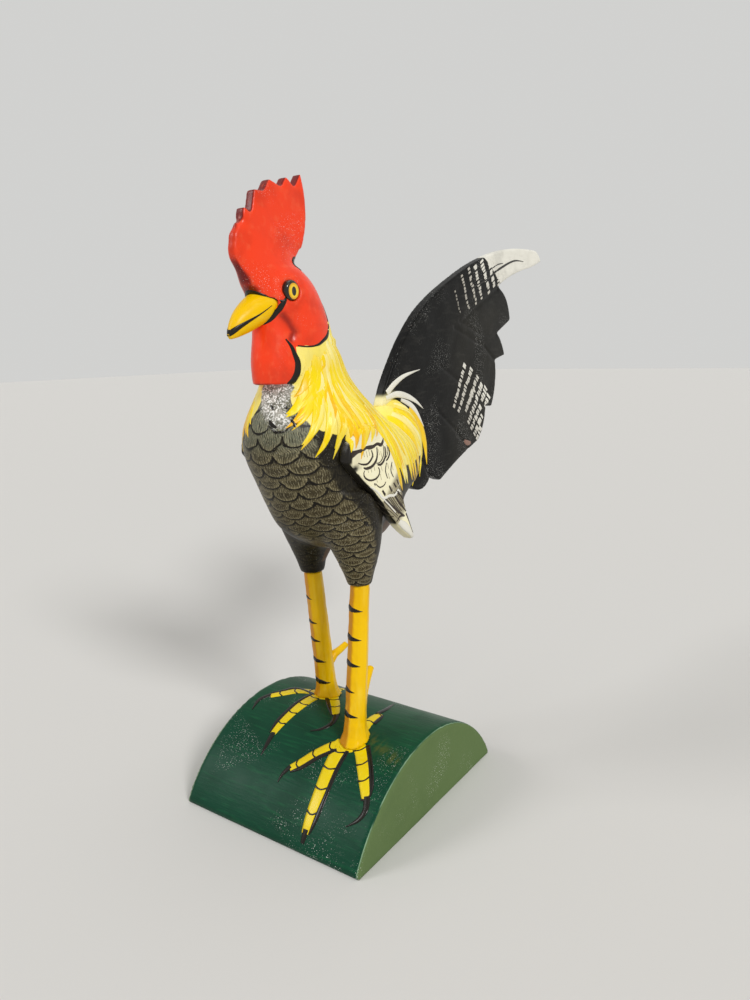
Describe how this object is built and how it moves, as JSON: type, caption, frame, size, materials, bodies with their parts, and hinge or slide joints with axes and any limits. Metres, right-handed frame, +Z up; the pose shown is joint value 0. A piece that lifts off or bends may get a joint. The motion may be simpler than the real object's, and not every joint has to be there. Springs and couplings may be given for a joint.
{
  "type": "carved rooster ornament",
  "caption": "Carved and painted wooden gamecock standing on dowel legs on a half-round block, with a board tail, glued-on wings and a saw-toothed comb.",
  "frame": {"origin": "middle of the block's flat underside", "axes": "+Z up, the bird faces -Y, its left side is +X"},
  "size_m": [0.103, 0.3007, 0.2875],
  "materials": {
    "green_paint": "hand-painted under gloss varnish",
    "feather_paint": "hand-painted under gloss varnish",
    "red_paint": "hand-painted under gloss varnish",
    "yellow_paint": "hand-painted under gloss varnish",
    "cream_paint": "hand-painted under gloss varnish",
    "black_paint": "hand-painted under gloss varnish",
    "eye_paint": "hand-painted under gloss varnish",
    "bare_dowel": "bare sawn wood"
  },
  "bodies": {
    "root": {"base_block": "green_paint", "body": "feather_paint", "head": "red_paint", "neck_dowel": "bare_dowel", "comb": "red_paint", "beak": "yellow_paint", "wattle": "red_paint", "left_eye": "eye_paint", "right_eye": "eye_paint", "left_wing": "cream_paint", "right_wing": "cream_paint", "left_wing_pins": "bare_dowel", "right_wing_pins": "bare_dowel", "tail": "black_paint", "tail_pins": "bare_dowel", "left_leg": "yellow_paint", "right_leg": "yellow_paint", "left_spur": "yellow_paint", "right_spur": "yellow_paint"}
  },
  "joints": []
}
